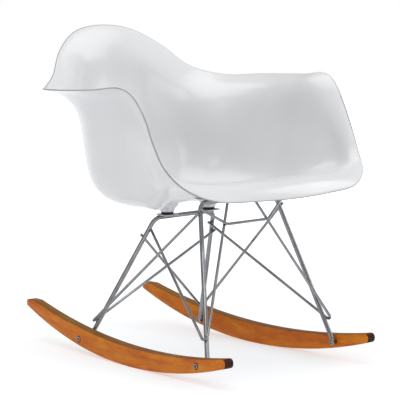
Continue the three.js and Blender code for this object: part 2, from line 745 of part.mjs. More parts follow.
function plateSolid(mount) {
  const { plate } = mountLevels(mount);
  const inward = Math.sign(mount.y - mount.barY);
  const barEdge = -inward * (SCREW_SETBACK + LEG_RADIUS);
  const farEdge = barEdge + inward * PLATE.depth;
  const [low, high] = [Math.min(barEdge, farEdge), Math.max(barEdge, farEdge)];
  const [half, corner] = [PLATE.width / 2, PLATE.corner];
  const shape = new THREE.Shape();
  shape.moveTo(-half + corner, low);
  shape.lineTo(half - corner, low);
  shape.lineTo(half, low + corner);
  shape.lineTo(half, high - corner);
  shape.lineTo(half - corner, high);
  shape.lineTo(-half + corner, high);
  shape.lineTo(-half, high - corner);
  shape.lineTo(-half, low + corner);
  shape.closePath();
  const hole = roundSection(SCREW_RADIUS + FIT, ROUND_SIDES);
  shape.holes.push(new THREE.Path(hole.getPoints()));
  const sheet = new THREE.ExtrudeGeometry(shape, { depth: PLATE.thickness, bevelEnabled: false });
  return sheet.translate(mount.x, mount.y, plate);
}

function screwSolid(mount) {
  const { plate } = mountLevels(mount);
  const under = plate - FIT;
  const outline = [
    [0, under - SCREW_HEAD_HEIGHT],
    [SCREW_CROWN_RADIUS, under - SCREW_HEAD_HEIGHT],
    [SCREW_HEAD_RADIUS, under - SCREW_HEAD_HEIGHT / 2],
    [SCREW_HEAD_RADIUS, under],
    [SCREW_RADIUS, under],
    [SCREW_RADIUS, under + SCREW_LENGTH],
    [0, under + SCREW_LENGTH],
  ];
  return turned(outline).translate(mount.x, mount.y, 0);
}

function addMountHardware(mount) {
  const { grommet, boss } = mountLevels(mount);
  const cushion = tube(SCREW_RADIUS + FIT, GROMMET_RADIUS, grommet, grommet + GROMMET_THICKNESS);
  const insertBase = boss + FIT;
  const insert = tube(SCREW_RADIUS + FIT, INSERT_RADIUS, insertBase, insertBase + INSERT_LENGTH);
  addPiece(`mount_plate_${mount.where}`, plateSolid(mount), ZINC);
  addPiece(`rubber_grommet_${mount.where}`, cushion.translate(mount.x, mount.y, 0), RUBBER);
  addPiece(`seat_screw_${mount.where}`, screwSolid(mount), ZINC);
  addPiece(`threaded_insert_${mount.where}`, insert.translate(mount.x, mount.y, 0), BRASS);
}

// ---- assembly ---------------------------------------------------------------------------
addPiece("seat_shell", shellSolid(), WHITE_PLASTIC);
MOUNTS.forEach(addMountHardware);
addPiece("rear_hoop", hoopSolid(REAR_BOLT, REAR_BAR), CHROME);
addPiece("front_hoop", hoopSolid(FRONT_BOLT, FRONT_BAR), CHROME);
addPiece("cross_brace", crossBrace(), CHROME);
for (const [name, side] of Object.entries(SIDES)) {
  addPiece(`rear_brace_${name}`, rearBrace(name, side), CHROME);
  addPiece(`front_brace_${name}`, frontBrace(name, side), CHROME);
  const frame = rockerFrame(side);
  addPiece(`rocker_${name}`, rockerSolid(side), MAPLE, frame);
  addFootHardware(`rear_${name}`, side, REAR_BOLT, frame);
  addFootHardware(`front_${name}`, side, FRONT_BOLT, frame);
}

export default chair;
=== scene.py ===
"""A rocking armchair: a moulded plastic shell on a base of bent steel wire, with two bowed
maple rockers. Metres, +Z up, and the sitter looks along -Y."""
import json
import math

import bmesh
import bpy
import numpy as np
from mathutils import Matrix, Vector


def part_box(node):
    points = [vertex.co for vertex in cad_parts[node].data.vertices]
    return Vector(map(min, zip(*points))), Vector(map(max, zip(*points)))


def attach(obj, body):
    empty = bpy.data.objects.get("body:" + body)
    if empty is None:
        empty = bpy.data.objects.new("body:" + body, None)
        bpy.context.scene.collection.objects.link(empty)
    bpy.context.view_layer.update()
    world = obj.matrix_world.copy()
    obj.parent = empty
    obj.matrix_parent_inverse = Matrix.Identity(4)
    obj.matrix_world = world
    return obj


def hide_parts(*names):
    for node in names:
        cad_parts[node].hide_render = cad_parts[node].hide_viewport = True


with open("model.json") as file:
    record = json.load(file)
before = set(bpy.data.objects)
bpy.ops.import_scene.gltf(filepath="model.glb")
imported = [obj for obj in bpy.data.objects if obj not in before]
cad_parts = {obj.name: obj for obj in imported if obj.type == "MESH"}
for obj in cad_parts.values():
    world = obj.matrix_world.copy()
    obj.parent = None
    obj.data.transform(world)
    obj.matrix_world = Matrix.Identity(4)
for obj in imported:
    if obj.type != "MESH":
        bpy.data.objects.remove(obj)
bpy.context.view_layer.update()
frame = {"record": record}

# ==== Rockers ==============================================================================
# Two boards sawn from solid maple to a bow. The long edges are eased, the ends rounded, and
# each board is drilled and counterbored for the two bolts that hold the wire base. The wood
# is stained honey brown under a satin lacquer, and the end grain drinks the stain dark.
SIDES = {"left": 1, "right": -1}
FIT = 0.00035  # clearance between pieces that touch
ROCKER_THICKNESS = 0.024
ROCKER_TOE = math.radians(2.85)  # the pair spreads towards the front
ROCKER_HALF_SPREAD = 0.194  # chair's middle plane to a rocker's outer face, half way along
ROCKER_DEPTH = 0.0415
ROCKER_LENGTH = 0.69
FRONT_DEPTH = 0.0195  # sole to crown at the front tip
REAR_DEPTH = 0.0209  # sole to crown at the rear tip, before its top is cut flat
TAIL_CUT = 0.0076  # how much the flat on the rear tip takes off
SOLE_LOW_Y = frame["record"]["mounts"][0]["pos_m"][1]  # where the rockers touch the floor
CROWN_RADIUS = 1.534
CROWN_LOW_Y = -0.066
ROCKER_EASE = 0.0022  # rounding of the long edges
FRONT_TIP_ROUND = 0.0088  # rounding of the ends, seen from the side
REAR_TIP_ROUND = 0.0045
ROCKER_SEGMENTS = 46
BORE_RADIUS = 0.0041
COUNTERBORE_RADIUS = 0.00715
COUNTERBORE_DEPTH = 0.006
MOUTH_FLARE = 0.0004  # softening of the counterbore's mouth


def rounded(corners, closed=True, steps=5):
    """The outline through corners of (a, b, radius), with an arc where there is a radius."""
    line = []
    for i, (a, b, radius) in enumerate(corners):
        corner = Vector((a, b))
        is_end = not closed and i in (0, len(corners) - 1)
        if radius == 0 or is_end:
            line.append(corner)
            continue
        before = Vector(corners[i - 1][:2])
        after = Vector(corners[(i + 1) % len(corners)][:2])
        inward = (corner - before).normalized()
        outward = (after - corner).normalized()
        turn = math.atan2(inward.cross(outward), inward.dot(outward))
        start = corner - inward * radius * math.tan(abs(turn) / 2)
        to_centre = Vector((-inward.y, inward.x)) * math.copysign(radius, turn)
        for step in range(steps + 1):
            spoke = Matrix.Rotation(turn * step / steps, 2) @ -to_centre
            line.append(start + to_centre + spoke)
    return line


def inset(outline, amount):
    """A closed outline moved inwards by an amount."""
    area = sum(a.cross(b) for a, b in zip(outline, outline[1:] + outline[:1]))
    moved = []
    for i, point in enumerate(outline):
        runs = [point - outline[i - 1], outline[(i + 1) % len(outline)] - point]
        normals = [Vector((-r.y, r.x)).normalized() * math.copysign(1, area) for r in runs]
        mitre = (normals[0] + normals[1]) / (1 + normals[0].dot(normals[1]))
        moved.append(point + mitre * amount)
    return moved


def skin(rings, closed_across=False):
    """A closed body through rings of corners. A ring of one corner is a pole."""
    body = bmesh.new()
    rows = [[body.verts.new(corner) for corner in ring] for ring in rings]
    pairs = list(zip(rows, rows[1:]))
    if closed_across:
        pairs.append((rows[-1], rows[0]))
    for low, high in pairs:
        count = max(len(low), len(high))
        for i in range(count):
            j = (i + 1) % count
            corners = [low[i % len(low)], low[j % len(low)], high[j % len(high)], high[i % len(high)]]
            body.faces.new(list(dict.fromkeys(corners)))
    if not closed_across:
        for row in (rows[0], rows[-1]):
            if len(row) > 1:
                body.faces.new(row)
    bmesh.ops.recalc_face_normals(body, faces=body.faces)
    return body


def eased_board(outline, thickness, ease, steps=4):
    """A flat board standing across x, from an outline in (y, z), with rounded edges."""
    rings = []
    for side in (-1, 1):
        arc = range(steps + 1) if side < 0 else range(steps, -1, -1)
        for step in arc:
            angle = math.pi / 2 * step / steps
            x = side * (thickness / 2 - ease * (1 - math.cos(angle)))
            line = inset(outline, ease * (1 - math.sin(angle)))
            rings.append([(x, p.x, p.y) for p in line])
    return skin(rings)


def turned(profile, closed=False, sides=48):
    """A body of revolution along +Z from a profile of (radius, height) corners."""
    rings = []
    for radius, height in profile:
        if radius < 1e-7:
            rings.append([(0, 0, height)])
            continue
        angles = [2 * math.pi * i / sides for i in range(sides)]
        rings.append([(radius * math.cos(a), radius * math.sin(a), height) for a in angles])
    return skin(rings, closed_across=closed)


def piece_of(name, body, material, sharp_degrees=32):
    """A new object in the scene from a body, smooth except over sharp corners."""
    mesh = bpy.data.meshes.new(name)
    body.to_mesh(mesh)
    body.free()
    mesh.polygons.foreach_set("use_smooth", [True] * len(mesh.polygons))
    mesh.set_sharp_from_angle(angle=math.radians(sharp_degrees))
    mesh.materials.append(material)
    piece = bpy.data.objects.new(name, mesh)
    bpy.context.scene.collection.objects.link(piece)
    return piece


def combine(piece, tool_body, operation="DIFFERENCE"):
    """Cuts a body out of a piece, or fuses it on."""
    tool = piece_of("cutting_tool", tool_body, piece.data.materials[0])
    step = piece.modifiers.new("shaping", "BOOLEAN")
    step.operation = operation
    step.solver = "EXACT"
    step.object = tool
    shaped = piece.evaluated_get(bpy.context.evaluated_depsgraph_get())
    piece.data = bpy.data.meshes.new_from_object(shaped)
    piece.modifiers.clear()
    bpy.data.objects.remove(tool)


def mount_in_frame(piece, slot, *nodes):
    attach(piece, "root")
    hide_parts(*nodes)


def finish_of(name, color, roughness, metallic=0.0, coat=0.0):
    """A new surface finish: its material, its shader, and the way to add and join nodes."""
    material = bpy.data.materials.new(name)
    material.use_nodes = True
    nodes, links = material.node_tree.nodes, material.node_tree.links
    shader = nodes["Principled BSDF"]
    shader.inputs["Base Color"].default_value = (*color, 1)
    shader.inputs["Roughness"].default_value = roughness
    shader.inputs["Metallic"].default_value = metallic
    shader.inputs["Coat Weight"].default_value = coat

    def add(kind, **inputs):
        node = nodes.new(kind)
        for key, value in inputs.items():
            node.inputs[key].default_value = value
        return node

    return material, shader, add, links.new


def shaded_between(add, join, source, stops):
    """A colour band from a value: stops of (place, colour)."""
    band = add("ShaderNodeValToRGB")
    ramp = band.color_ramp
    while len(ramp.elements) < len(stops):
        ramp.elements.new(0.5)
    for element, (place, color) in zip(ramp.elements, stops):
        element.position = place
        element.color = (*color, 1)
    join(source, band.inputs["Fac"])
    return band.outputs["Color"]


def ranged(add, join, source, low, high):
    """A value from 0..1 stretched to low..high."""
    node = add("ShaderNodeMapRange")
    node.inputs["To Min"].default_value = low
    node.inputs["To Max"].default_value = high
    join(source, node.inputs["Value"])
    return node.outputs["Result"]


def stretched_noise(add, join, source, scale, detail=4.0, roughness=0.55, distortion=0.0):
    """Noise over the piece's own coordinates, finer along an axis with a larger scale."""
    mapping = add("ShaderNodeMapping", Scale=scale)
    noise = add("ShaderNodeTexNoise", Scale=1.0, Detail=detail, Roughness=roughness)
    noise.inputs["Distortion"].default_value = distortion
    join(source, mapping.inputs["Vector"])
    join(mapping.outputs["Vector"], noise.inputs["Vector"])
    return noise.outputs["Fac"]


def bumped(add, join, shader, source, distance, strength=1.0):
    """Relief of a height from 0..1 and a depth in metres."""
    bump = add("ShaderNodeBump", Distance=distance, Strength=strength)
    join(source, bump.inputs["Height"])
    join(bump.outputs["Normal"], shader.inputs["Normal"])


def bowed_grain(add, join):
    """The piece's own coordinates with the rocker's bow taken out, so that grain follows it."""
    place = add("ShaderNodeTexCoord").outputs["Object"]
    parts = add("ShaderNodeSeparateXYZ")
    join(place, parts.inputs["Vector"])
    from_low = add("ShaderNodeMath")
    from_low.operation = "SUBTRACT"
    from_low.inputs[1].default_value = CROWN_LOW_Y
    join(parts.outputs["Y"], from_low.inputs[0])
    square = add("ShaderNodeMath")
    square.operation = "MULTIPLY"
    join(from_low.outputs[0], square.inputs[0])
    join(from_low.outputs[0], square.inputs[1])
    rise = add("ShaderNodeMath")
    rise.operation = "MULTIPLY"
    rise.inputs[1].default_value = -1 / (2 * CROWN_RADIUS)
    join(square.outputs[0], rise.inputs[0])
    level = add("ShaderNodeMath")
    level.operation = "ADD"
    join(parts.outputs["Z"], level.inputs[0])
    join(rise.outputs[0], level.inputs[1])
    whole = add("ShaderNodeCombineXYZ")
    join(parts.outputs["X"], whole.inputs["X"])
    join(parts.outputs["Y"], whole.inputs["Y"])
    join(level.outputs[0], whole.inputs["Z"])
    return whole.outputs["Vector"]


def mixed(add, join, factor, first, second, mode="MIX"):
    """Two colours mixed by a value or by a number."""
    node = add("ShaderNodeMix")
    node.data_type = "RGBA"
    node.blend_type = mode
    if isinstance(factor, float):
        node.inputs["Factor"].default_value = factor
    else:
        join(factor, node.inputs["Factor"])
    join(first, node.inputs["A"])
    join(second, node.inputs["B"])
    return node.outputs["Result"]


def honey_maple():
    material, shader, add, join = finish_of("honey_maple", (0.52, 0.16, 0.008), 0.5, coat=0.03)
    shader.inputs["Coat Roughness"].default_value = 0.3
    shader.inputs["Specular IOR Level"].default_value = 0.2
    grain = bowed_grain(add, join)
    figure = stretched_noise(add, join, grain, (40, 7, 55), detail=5, distortion=0.6)
    fibre = stretched_noise(add, join, grain, (700, 28, 900), detail=3)
    cloud = stretched_noise(add, join, grain, (30, 16, 34), detail=3)
    base = shaded_between(add, join, figure, [
        (0.30, (0.54, 0.120, 0.006)), (0.50, (0.64, 0.185, 0.006)), (0.72, (0.70, 0.245, 0.010)),
    ])
    streak = shaded_between(add, join, fibre, [(0.35, (0.78, 0.74, 0.70)), (0.62, (1, 1, 1))])
    blotch = shaded_between(add, join, cloud, [(0.36, (0.84, 0.70, 0.9)), (0.6, (1, 1, 1))])
    colour = mixed(add, join, 1.0, base, streak, "MULTIPLY")
    colour = mixed(add, join, 1.0, colour, blotch, "MULTIPLY")
    # Painted shade: faces that look upward, along the crown, are darkened and turned olive brown.
    faces = add("ShaderNodeSeparateXYZ")
    join(add("ShaderNodeNewGeometry").outputs["Normal"], faces.inputs["Vector"])
    painted_top_shade = shaded_between(add, join, faces.outputs["Z"], [(0.45, (1, 1, 1)), (0.8, (0.40, 0.56, 0.9))])
    colour = mixed(add, join, 1.0, colour, painted_top_shade, "MULTIPLY")
    join(colour, shader.inputs["Base Color"])
    join(ranged(add, join, fibre, 0.42, 0.62), shader.inputs["Roughness"])
    bumped(add, join, shader, fibre, 0.00006)
    return material


def stained_end_grain():
    material, shader, add, join = finish_of("stained_end_grain", (0.03, 0.009, 0.005), 0.6)
    shader.inputs["Specular IOR Level"].default_value = 0.15
    place = add("ShaderNodeTexCoord").outputs["Object"]
    pores = stretched_noise(add, join, place, (900, 200, 900), detail=3)
    rings = stretched_noise(add, join, place, (60, 20, 260), detail=2, distortion=0.4)
    base = shaded_between(add, join, rings, [(0.35, (0.022, 0.006, 0.004)), (0.65, (0.060, 0.018, 0.009))])
    speck = shaded_between(add, join, pores, [(0.4, (0.7, 0.7, 0.7)), (0.55, (1, 1, 1))])
    join(mixed(add, join, 1.0, base, speck, "MULTIPLY"), shader.inputs["Base Color"])
    join(ranged(add, join, pores, 0.5, 0.75), shader.inputs["Roughness"])
    bumped(add, join, shader, pores, 0.00008)
    return material


def arc_rise(radius, low_y, y):
    return radius - math.sqrt(radius**2 - (y - low_y) ** 2)


def crown_height(y):
    return ROCKER_DEPTH + arc_rise(CROWN_RADIUS, CROWN_LOW_Y, y)


def sole_height(y):
    """Height of the sole: two arcs that rise from the floor to the depth of each tip."""
    rear = y > SOLE_LOW_Y
    tip = ROCKER_LENGTH / 2 if rear else -ROCKER_LENGTH / 2
    rise = crown_height(tip) - (REAR_DEPTH if rear else FRONT_DEPTH)
    radius = ((tip - SOLE_LOW_Y) ** 2 + rise**2) / (2 * rise)
    return arc_rise(radius, SOLE_LOW_Y, y)


def rocker_outline():
    """Side view of a rocker in (y, z): the sole, the rear tip's flat, and the crown."""
    half = ROCKER_LENGTH / 2
    tail_height = crown_height(half) - TAIL_CUT
    tail_rise = tail_height - ROCKER_DEPTH
    tail_cut = CROWN_LOW_Y + math.sqrt(CROWN_RADIUS**2 - (CROWN_RADIUS - tail_rise) ** 2)
    runs = [-half + ROCKER_LENGTH * i / ROCKER_SEGMENTS for i in range(ROCKER_SEGMENTS + 1)]
    rounding = {runs[0]: FRONT_TIP_ROUND, runs[-1]: REAR_TIP_ROUND}
    sole = [(y, sole_height(y), rounding.get(y, 0)) for y in runs]
    over = [y for y in reversed(runs) if y < tail_cut - REAR_TIP_ROUND]
    crown = [(y, crown_height(y), 0) for y in over]
    crown[-1] = (*crown[-1][:2], FRONT_TIP_ROUND)
    tail = [(half, tail_height, REAR_TIP_ROUND), (tail_cut, tail_height, REAR_TIP_ROUND)]
    return rounded(sole + tail + crown)


def rocker_place(side):
    """The turned frame of one rocker, which its bolts and barrels share."""
    middle_x = side * (ROCKER_HALF_SPREAD - ROCKER_THICKNESS / 2)
    return Matrix.Translation((middle_x, 0, 0)) @ Matrix.Rotation(side * ROCKER_TOE, 4, "Z")


def across_rocker(side, where):
    """Turns what stands along +Z to lie across a rocker, outwards, at one of its bolts."""
    low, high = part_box(f"rocker_bolt_{where}")
    middle = (low + high) / 2
    spot = (0, middle.y / math.cos(ROCKER_TOE), middle.z)
    lying = Matrix.Rotation(side * math.pi / 2, 4, "Y")
    return rocker_place(side) @ Matrix.Translation(spot) @ lying


def bolt_hole():
    face = ROCKER_THICKNESS / 2
    seat = face - COUNTERBORE_DEPTH
    past = face + 0.004
    return turned([
        (0, -past), (BORE_RADIUS, -past), (BORE_RADIUS, seat), (COUNTERBORE_RADIUS, seat),
        (COUNTERBORE_RADIUS, face - MOUTH_FLARE), (COUNTERBORE_RADIUS + 2 * MOUTH_FLARE, face + MOUTH_FLARE),
        (COUNTERBORE_RADIUS + 2 * MOUTH_FLARE, past), (0, past),
    ])


HONEY_MAPLE = honey_maple()
END_GRAIN = stained_end_grain()
for name, side in SIDES.items():
    board = eased_board(rocker_outline(), ROCKER_THICKNESS, ROCKER_EASE)
    rocker = piece_of(f"maple_rocker_{name}", board, HONEY_MAPLE)
    rocker.data.materials.append(END_GRAIN)
    for face in rocker.data.polygons:
        at_tip = abs(face.center.y) > ROCKER_LENGTH / 2 - FRONT_TIP_ROUND
        if at_tip and abs(face.normal.y) > 0.3 and abs(face.normal.x) < 0.5:
            face.material_index = 1
    rocker.data.transform(rocker_place(side))
    for end in ("rear", "front"):
        hole = bolt_hole()
        hole.transform(across_rocker(side, f"{end}_{name}"))
        combine(rocker, hole)
    rocker.data.set_sharp_from_angle(angle=math.radians(32))
    mount_in_frame(rocker, "rocker_wood", f"rocker_{name}")

# ==== Bolts, washers and barrels ===========================================================
# A socket-head bolt and a washer sink into the outer face of the rocker and screw into a
# steel barrel on its inner face, which is welded to the end of the leg. All are plated.
BOLT_RADIUS = 0.0038
BOLT_HEAD_RADIUS = 0.0056
BOLT_HEAD_HEIGHT = 0.005
HEX_RADIUS = 0.003
HEX_DEPTH = 0.003
WASHER_RADIUS = 0.0068
WASHER_THICKNESS = 0.0014
BARREL_RADIUS = 0.0065
BARREL_LENGTH = 0.012
EDGE_ROUND = 0.0004


def bright_chrome():
    material, shader, add, join = finish_of("bright_chrome", (0.27, 0.275, 0.285), 0.13, metallic=1.0)
    place = add("ShaderNodeTexCoord").outputs["Object"]
    haze = stretched_noise(add, join, place, (45, 45, 45), detail=4)
    scuff = stretched_noise(add, join, place, (900, 900, 120), detail=3)
    tone = shaded_between(add, join, haze, [(0.35, (0.24, 0.245, 0.255)), (0.65, (0.31, 0.315, 0.325))])
    join(tone, shader.inputs["Base Color"])
    join(ranged(add, join, scuff, 0.08, 0.20), shader.inputs["Roughness"])
    bumped(add, join, shader, scuff, 0.00001, strength=0.4)
    return material


CHROME = bright_chrome()


def bolt_body():
    face = ROCKER_THICKNESS / 2
    under_head = face - COUNTERBORE_DEPTH + WASHER_THICKNESS + 2 * FIT
    top = under_head + BOLT_HEAD_HEIGHT
    tip = -face - FIT - BARREL_LENGTH + 0.001
    return rounded([
        (0, tip, 0), (BOLT_RADIUS, tip, 2 * EDGE_ROUND), (BOLT_RADIUS, under_head, 0),
        (BOLT_HEAD_RADIUS, under_head, EDGE_ROUND), (BOLT_HEAD_RADIUS, top, 2 * EDGE_ROUND), (0, top, 0),
    ], closed=False), top


def hex_socket(top):
    """The key's pocket, with a small lead-in."""
    lead = HEX_RADIUS + EDGE_ROUND
    flat = [(HEX_RADIUS, top - HEX_DEPTH), (HEX_RADIUS, top - EDGE_ROUND), (lead, top + EDGE_ROUND)]
    return turned([(0, top - HEX_DEPTH - EDGE_ROUND), *flat, (0, top + EDGE_ROUND)], sides=6)


def ring_profile(inner, outer, bottom, top, edge=EDGE_ROUND):
    return rounded([
        (inner, bottom, edge / 2), (outer, bottom, edge), (outer, top, edge), (inner, top, edge / 2),
    ])


for name, side in SIDES.items():
    for end in ("rear", "front"):
        where = f"{end}_{name}"
        place = across_rocker(side, where)
        profile, head_top = bolt_body()
        bolt = piece_of(f"socket_bolt_{where}", turned(profile), CHROME)
        combine(bolt, hex_socket(head_top))
        seat = ROCKER_THICKNESS / 2 - COUNTERBORE_DEPTH + FIT
        washer_ring = ring_profile(BOLT_RADIUS + FIT, WASHER_RADIUS, seat, seat + WASHER_THICKNESS)
        washer = piece_of(f"washer_{where}", turned(washer_ring, closed=True), CHROME)
        inner = -ROCKER_THICKNESS / 2 - FIT
        barrel_ring = ring_profile(
            BOLT_RADIUS + FIT, BARREL_RADIUS, inner - BARREL_LENGTH, inner, 2 * EDGE_ROUND)
        barrel = piece_of(f"threaded_barrel_{where}", turned(barrel_ring, closed=True), CHROME)
        for piece, node in ((bolt, "rocker_bolt"), (washer, "rocker_washer"), (barrel, "foot_barrel")):
            piece.data.transform(place)
            slot = "chrome_wire" if piece is barrel else "bolt_steel"
            mount_in_frame(piece, slot, f"{node}_{where}")

# ==== Hoops ================================================================================
# The rear and the front hoop are each one 9.5 mm steel rod, bent into two legs with a bar
# between them under the seat. Each leg's foot is welded to its barrel.
LEG_RADIUS = 0.00475
LEG_BEND = 0.020  # centre-line radius of a hoop's bends
FOOT_STOP = 0.0044  # the rod stops in the barrel's wall
WELD_FLARE = 0.0009  # how much the weld widens the rod's foot
ROD_SIDES = 28
BEND_STEPS = 14


def bent_line(corners, bend_radius):
    """Centre line of a bent rod, as (point, direction) pairs."""
    stations = [(corners[0], (corners[1] - corners[0]).normalized())]
    for before, corner, after in zip(corners, corners[1:], corners[2:]):
        inward = (corner - before).normalized()
        outward = (after - corner).normalized()
        turn = inward.angle(outward)
        axis = inward.cross(outward).normalized()
        to_centre = axis.cross(inward)
        start = corner - inward * bend_radius * math.tan(turn / 2)
        for step in range(BEND_STEPS + 1):
            spin = Matrix.Rotation(turn * step / BEND_STEPS, 3, axis)
            point = start + to_centre * bend_radius - (spin @ to_centre) * bend_radius
            stations.append((point, spin @ inward))
    stations.append((corners[-1], (corners[-1] - corners[-2]).normalized()))
    return stations


def round_ring(point, direction, spoke, radius):
    across = direction.cross(spoke)
    angles = [2 * math.pi * i / ROD_SIDES for i in range(ROD_SIDES)]
    return [point + (spoke * math.cos(a) + across * math.sin(a)) * radius for a in angles]


def rod_along(stations, radius, end_round=0.0008, flare=0.0):
    """A round rod along a bent line. Its ends are rounded off, or flared into a weld."""
    rings = []
    first, last = stations[0], stations[-1]
    spoke = first[1].orthogonal().normalized()
    weld = 2.5 * flare
    lead_in = [(0, radius + flare), (weld / 2, radius + flare / 3), (weld, radius)]
    if not flare:
        angles = [math.pi / 2 * i / 4 for i in range(5)]
        lead_in = [(end_round * (1 - math.cos(a)), radius - end_round * (1 - math.sin(a))) for a in angles]
    for along, size in lead_in:
        rings.append(round_ring(first[0] + first[1] * along, first[1], spoke, size))
    for point, direction in stations[1:-1]:
        spoke = (spoke - direction * spoke.dot(direction)).normalized()
        rings.append(round_ring(point, direction, spoke, radius))
    spoke = (spoke - last[1] * spoke.dot(last[1])).normalized()
    for along, size in reversed(lead_in):
        rings.append(round_ring(last[0] - last[1] * along, last[1], spoke, size))
    return skin(rings)


def middle_of(node):
    low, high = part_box(node)
    return (low + high) / 2


rear_low, rear_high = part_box("rear_hoop")
front_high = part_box("front_hoop")[1]
BARS = {
    "rear": {"half": 0.082, "y": rear_low.y + LEG_RADIUS, "z": rear_high.z - LEG_RADIUS},
    "front": {"half": 0.104, "y": front_high.y - LEG_RADIUS, "z": front_high.z - LEG_RADIUS},
}
LEGS = {}
for name, side in SIDES.items():
    for end, bar in BARS.items():
        low = middle_of(f"foot_barrel_{end}_{name}")
        LEGS[end, name] = (low, Vector((side * bar["half"], bar["y"], bar["z"])))

for end in BARS:
    (left_foot, left_bend), (right_foot, right_bend) = LEGS[end, "left"], LEGS[end, "right"]
    left_stop = left_foot + (left_bend - left_foot).normalized() * FOOT_STOP
    right_stop = right_foot + (right_bend - right_foot).normalized() * FOOT_STOP
    line = bent_line([left_stop, left_bend, right_bend, right_stop], LEG_BEND)
    hoop = piece_of(f"{end}_leg_hoop", rod_along(line, LEG_RADIUS, flare=WELD_FLARE), CHROME)
    mount_in_frame(hoop, "chrome_wire", f"{end}_hoop")

# ==== Braces ===============================================================================
# Five thin wires stiffen the base. Four are bent into a V that hooks round the foot of a
# leg, and one runs across the front. Each is spot-welded wherever it passes another wire.
BRACE_RADIUS = 0.0029
BRACE_BEND = 0.008
BRACE_END = 0.005  # how far a brace runs past its weld
WELD_GAP = 3 * FIT
REAR_V = 0.12  # where a V hooks on, as a share of the leg from foot to bend
FRONT_V = 0.143
SIDE_RISE_TO_FRONT = 0.925
SIDE_RISE_TO_REAR = 0.9
BACK_RISE = 0.835
CROSS_RISE = 0.95
FRONT_RISE_X = 0.034
CROSS_HALF_WIDTH = 0.057
CROSS_Z = 0.300
CROSS_BEND = 0.009
TOUCH = LEG_RADIUS + BRACE_RADIUS + FIT
BEAD = (0.0034, 0.0021, 0.0013)  # half length, half width and half height of a spot weld
ACROSS = Vector((1, 0, 0))
FORWARD = Vector((0, -1, 0))
welds = bmesh.new()


def on_leg(leg, share):
    return leg[0].lerp(leg[1], share)


def leg_direction(leg):
    return (leg[1] - leg[0]).normalized()


def spot_weld(point, run, outward):
    """A small bead of metal between two wires that touch."""
    along = (run - outward * run.dot(outward)).normalized()
    turn = Matrix((along, outward.cross(along), outward)).transposed().to_4x4()
    shape = Matrix.Translation(point) @ turn @ Matrix.Diagonal((*BEAD, 1))
    bmesh.ops.create_uvsphere(welds, u_segments=20, v_segments=12, radius=1, matrix=shape)


def beside(point, rod_direction, run, hint, distance=TOUCH, rod_radius=LEG_RADIUS):
    """The point beside a rod where a wire heading along `run` touches it, on one side."""
    outward = rod_direction.cross(run).normalized()
    if outward.dot(hint) < 0:
        outward.negate()
    spot_weld(point + outward * (rod_radius + FIT / 2), run, outward)
    return point + outward * distance


def past_weld(start, touch):
    return touch + (touch - start).normalized() * BRACE_END


def passing_side(along, run, other):
    side = along.cross(run).normalized()
    return -side if side.dot(other) > 0 else side


def hooked_v(leg, share, ends):
    """The centre line of a wire that hooks round a leg, with one end beside each target."""
    apex, along = on_leg(leg, share), leg_direction(leg)
    first, second = [(end - apex).normalized() for end in ends]
    sides = [passing_side(along, first, second), passing_side(along, second, first)]
    for run, outward in zip((first, second), sides):
        spot_weld(apex + outward * (LEG_RADIUS + WELD_GAP / 2) + run * BRACE_BEND / 2, run, outward)
    distance = LEG_RADIUS + BRACE_RADIUS + WELD_GAP
    offset = (sides[0] + sides[1]) * distance / (1 + sides[0].dot(sides[1]))
    half_turn = (math.pi - first.angle(second)) / 2
    sharpness = BRACE_BEND * (1 / math.cos(half_turn) - 1)
    corner = apex + offset - (first + second).normalized() * sharpness
    return bent_line([past_weld(corner, ends[0]), corner, past_weld(corner, ends[1])], BRACE_BEND)


def front_rise_end(name, side):
    bar = BARS["front"]
    on_bar = Vector((side * FRONT_RISE_X, bar["y"], bar["z"]))
    return beside(on_bar, ACROSS, on_bar - on_leg(LEGS["front", name], FRONT_V), FORWARD)


def rear_brace_line(name, side):
    own = LEGS["rear", name]
    other = LEGS["rear", "right" if name == "left" else "left"]
    start = on_leg(own, REAR_V)
    front_leg = LEGS["front", name]
    on_front, on_back = on_leg(front_leg, SIDE_RISE_TO_FRONT), on_leg(other, BACK_RISE)
    return hooked_v(own, REAR_V, [
        beside(on_front, leg_direction(front_leg), on_front - start, ACROSS * side),
        beside(on_back, leg_direction(other), on_back - start, -FORWARD * side),
    ])


def front_brace_line(name, side):
    own, rear_leg = LEGS["front", name], LEGS["rear", name]
    on_rear = on_leg(rear_leg, SIDE_RISE_TO_REAR)
    run = on_rear - on_leg(own, FRONT_V)
    to_rear = beside(on_rear, leg_direction(rear_leg), run, -ACROSS * side)
    return hooked_v(own, FRONT_V, [to_rear, front_rise_end(name, side)])


def cross_brace_line():
    corners, ends = [], []
    for name, side in SIDES.items():
        leg = LEGS["front", name]
        low, high = on_leg(leg, FRONT_V), front_rise_end(name, side)
        touch = low.lerp(high, (CROSS_Z - low.z) / (high.z - low.z))
        clear = 2 * BRACE_RADIUS + 3 * WELD_GAP
        corner = beside(touch, ACROSS, high - low, FORWARD, clear, BRACE_RADIUS + WELD_GAP)
        corner.x = side * CROSS_HALF_WIDTH
        target = on_leg(leg, CROSS_RISE)
        corners.append(corner)
        ends.append(past_weld(corner, beside(target, leg_direction(leg), target - corner, FORWARD)))
    return bent_line([ends[0], corners[0], corners[1], ends[1]], CROSS_BEND)


for name, side in SIDES.items():
    for end, line in (("rear", rear_brace_line(name, side)), ("front", front_brace_line(name, side))):
        brace = piece_of(f"{end}_v_brace_{name}", rod_along(line, BRACE_RADIUS), CHROME)
        mount_in_frame(brace, "chrome_wire", f"{end}_brace_{name}")
cross = piece_of("front_cross_brace", rod_along(cross_brace_line(), BRACE_RADIUS), CHROME)
mount_in_frame(cross, "chrome_wire", "cross_brace")
beads = piece_of("spot_welds", welds, CHROME)
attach(beads, "root")

